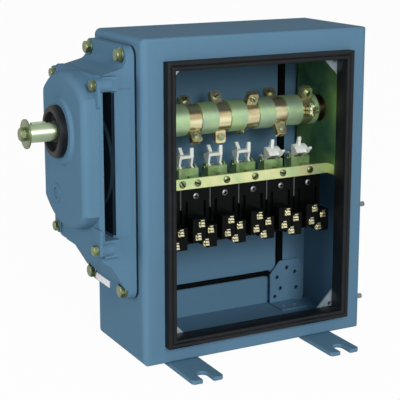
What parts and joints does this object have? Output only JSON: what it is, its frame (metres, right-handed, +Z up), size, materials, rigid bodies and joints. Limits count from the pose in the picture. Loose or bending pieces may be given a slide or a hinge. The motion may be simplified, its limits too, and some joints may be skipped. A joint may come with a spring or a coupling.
{
  "type": "geared cam switch",
  "caption": "Camshaft limit switch in a steel case: a geared input shaft turns clamped dogs that throw trip levers over contact blocks.",
  "frame": {"origin": "centre of the footprint, level with the undersides of the foot bars", "axes": "+Z up; the open front faces -Y; the input shaft points to -X; +X is the switch's right"},
  "size_m": [0.4106, 0.238, 0.365],
  "materials": {
    "case_blue": "smooth satin blue paint",
    "cast_blue": "satin blue paint over cast iron",
    "seal_rubber": "soft sheen",
    "black_plastic": "moulded, satin",
    "zinc_yellow": "yellow passivated zinc",
    "zinc_drum": "yellow-green passivated zinc",
    "zinc_plate": "green passivated zinc",
    "zinc_rail": "yellow passivated zinc",
    "plate_steel": "zinc plated",
    "shaft_steel": "ground",
    "gear_steel": "oiled",
    "bronze": "machined",
    "white_nylon": "satin",
    "ivory_plastic": "satin",
    "terminal_brass": "bright"
  },
  "bodies": {
    "case": {"enclosure": "case_blue", "front_seal": "seal_rubber", "corner_brackets": "case_blue", "foot_bars": "case_blue", "mounting_panel": "case_blue", "panel_edging": "black_plastic", "cable_bracket": "case_blue", "side_studs": "zinc_yellow", "adapter_gasket": "seal_rubber", "adapter_housing": "cast_blue", "flange_bolts": "zinc_yellow", "gear_cover": "cast_blue", "gear_plate": "plate_steel", "cover_bolts": "zinc_yellow", "shaft_seal": "seal_rubber", "input_bearing": "bronze", "end_plate_left": "zinc_plate", "end_plate_right": "zinc_plate", "camshaft_bushes": "bronze", "frame_spacers": "zinc_yellow", "contact_rail": "zinc_rail", "pan_screws": "plate_steel", "lever_brackets": "zinc_plate", "lever_pivots": "plate_steel", "contact_block_1": "black_plastic", "contact_block_2": "black_plastic", "contact_block_3": "black_plastic", "contact_block_4": "black_plastic", "contact_block_5": "black_plastic", "contact_block_6": "black_plastic", "terminals": "terminal_brass"},
    "input": {"input_shaft": "shaft_steel", "shaft_key": "plate_steel", "end_washer": "zinc_yellow", "end_screw": "zinc_yellow"},
    "layshaft": {"layshaft": "gear_steel", "layshaft_gear": "gear_steel"},
    "camshaft": {"camshaft": "shaft_steel", "output_gear": "gear_steel", "cam_sleeves": "zinc_drum", "clamp_screws": "plate_steel", "cam_clamp_1": "zinc_drum", "cam_clamp_2": "zinc_drum", "cam_clamp_3": "zinc_drum", "cam_clamp_4": "zinc_drum", "cam_clamp_5": "zinc_drum", "cam_clamp_6": "zinc_drum"},
    "lever_1": {"lever_1": "white_nylon"},
    "slide_1": {"contact_slide_1": "ivory_plastic"},
    "lever_2": {"lever_2": "white_nylon"},
    "slide_2": {"contact_slide_2": "ivory_plastic"},
    "lever_3": {"lever_3": "white_nylon"},
    "slide_3": {"contact_slide_3": "ivory_plastic"},
    "lever_4": {"lever_4": "white_nylon"},
    "slide_4": {"contact_slide_4": "ivory_plastic"},
    "lever_5": {"lever_5": "white_nylon"},
    "slide_5": {"contact_slide_5": "ivory_plastic"},
    "lever_6": {"lever_6": "white_nylon"},
    "slide_6": {"contact_slide_6": "ivory_plastic"}
  },
  "joints": [
    {"name": "camshaft_spin", "type": "hinge", "parent": "case", "child": "camshaft", "pos_m": [0.0067, 0.003, 0.2635], "axis": [1, 0, 0], "continuous": true},
    {"name": "layshaft_spin", "type": "hinge", "parent": "case", "child": "layshaft", "pos_m": [-0.1433, 0.003, 0.2095], "axis": [1, 0, 0], "continuous": true},
    {"name": "input_spin", "type": "hinge", "parent": "case", "child": "input", "pos_m": [-0.1833, 0.003, 0.2635], "axis": [1, 0, 0], "continuous": true},
    {"name": "lever_1_trip", "type": "hinge", "parent": "case", "child": "lever_1", "pos_m": [-0.0464, 0.004, 0.206], "axis": [1, 0, 0], "range_deg": [0, 46]},
    {"name": "slide_1_stroke", "type": "slide", "parent": "case", "child": "slide_1", "axis": [0, 0, 1], "range_m": [0, 0.0063]},
    {"name": "lever_2_trip", "type": "hinge", "parent": "case", "child": "lever_2", "pos_m": [-0.0092, 0.004, 0.206], "axis": [1, 0, 0], "range_deg": [0, 46]},
    {"name": "slide_2_stroke", "type": "slide", "parent": "case", "child": "slide_2", "axis": [0, 0, 1], "range_m": [0, 0.0063]},
    {"name": "lever_3_trip", "type": "hinge", "parent": "case", "child": "lever_3", "pos_m": [0.028, 0.004, 0.206], "axis": [1, 0, 0], "range_deg": [0, 46]},
    {"name": "slide_3_stroke", "type": "slide", "parent": "case", "child": "slide_3", "axis": [0, 0, 1], "range_m": [0, 0.0063]},
    {"name": "lever_4_trip", "type": "hinge", "parent": "case", "child": "lever_4", "pos_m": [0.0652, 0.004, 0.206], "axis": [1, 0, 0], "range_deg": [0, 46]},
    {"name": "slide_4_stroke", "type": "slide", "parent": "case", "child": "slide_4", "axis": [0, 0, 1], "range_m": [0, 0.0063]},
    {"name": "lever_5_trip", "type": "hinge", "parent": "case", "child": "lever_5", "pos_m": [0.1024, 0.004, 0.206], "axis": [1, 0, 0], "range_deg": [-46, 0]},
    {"name": "slide_5_stroke", "type": "slide", "parent": "case", "child": "slide_5", "axis": [0, 0, 1], "range_m": [-0.0063, 0]},
    {"name": "lever_6_trip", "type": "hinge", "parent": "case", "child": "lever_6", "pos_m": [0.1396, 0.004, 0.206], "axis": [1, 0, 0], "range_deg": [-46, 0]},
    {"name": "slide_6_stroke", "type": "slide", "parent": "case", "child": "slide_6", "axis": [0, 0, 1], "range_m": [-0.0063, 0]}
  ],
  "couplings": [
    {"joint": "layshaft_spin", "follows": "camshaft_spin", "ratio": -3},
    {"joint": "input_spin", "follows": "camshaft_spin", "ratio": 9},
    {"joint": "slide_1_stroke", "follows": "lever_1_trip", "m_per_rad": 0.007786},
    {"joint": "slide_2_stroke", "follows": "lever_2_trip", "m_per_rad": 0.007786},
    {"joint": "slide_3_stroke", "follows": "lever_3_trip", "m_per_rad": 0.007786},
    {"joint": "slide_4_stroke", "follows": "lever_4_trip", "m_per_rad": 0.007786},
    {"joint": "slide_5_stroke", "follows": "lever_5_trip", "m_per_rad": 0.007786},
    {"joint": "slide_6_stroke", "follows": "lever_6_trip", "m_per_rad": 0.007786}
  ]
}
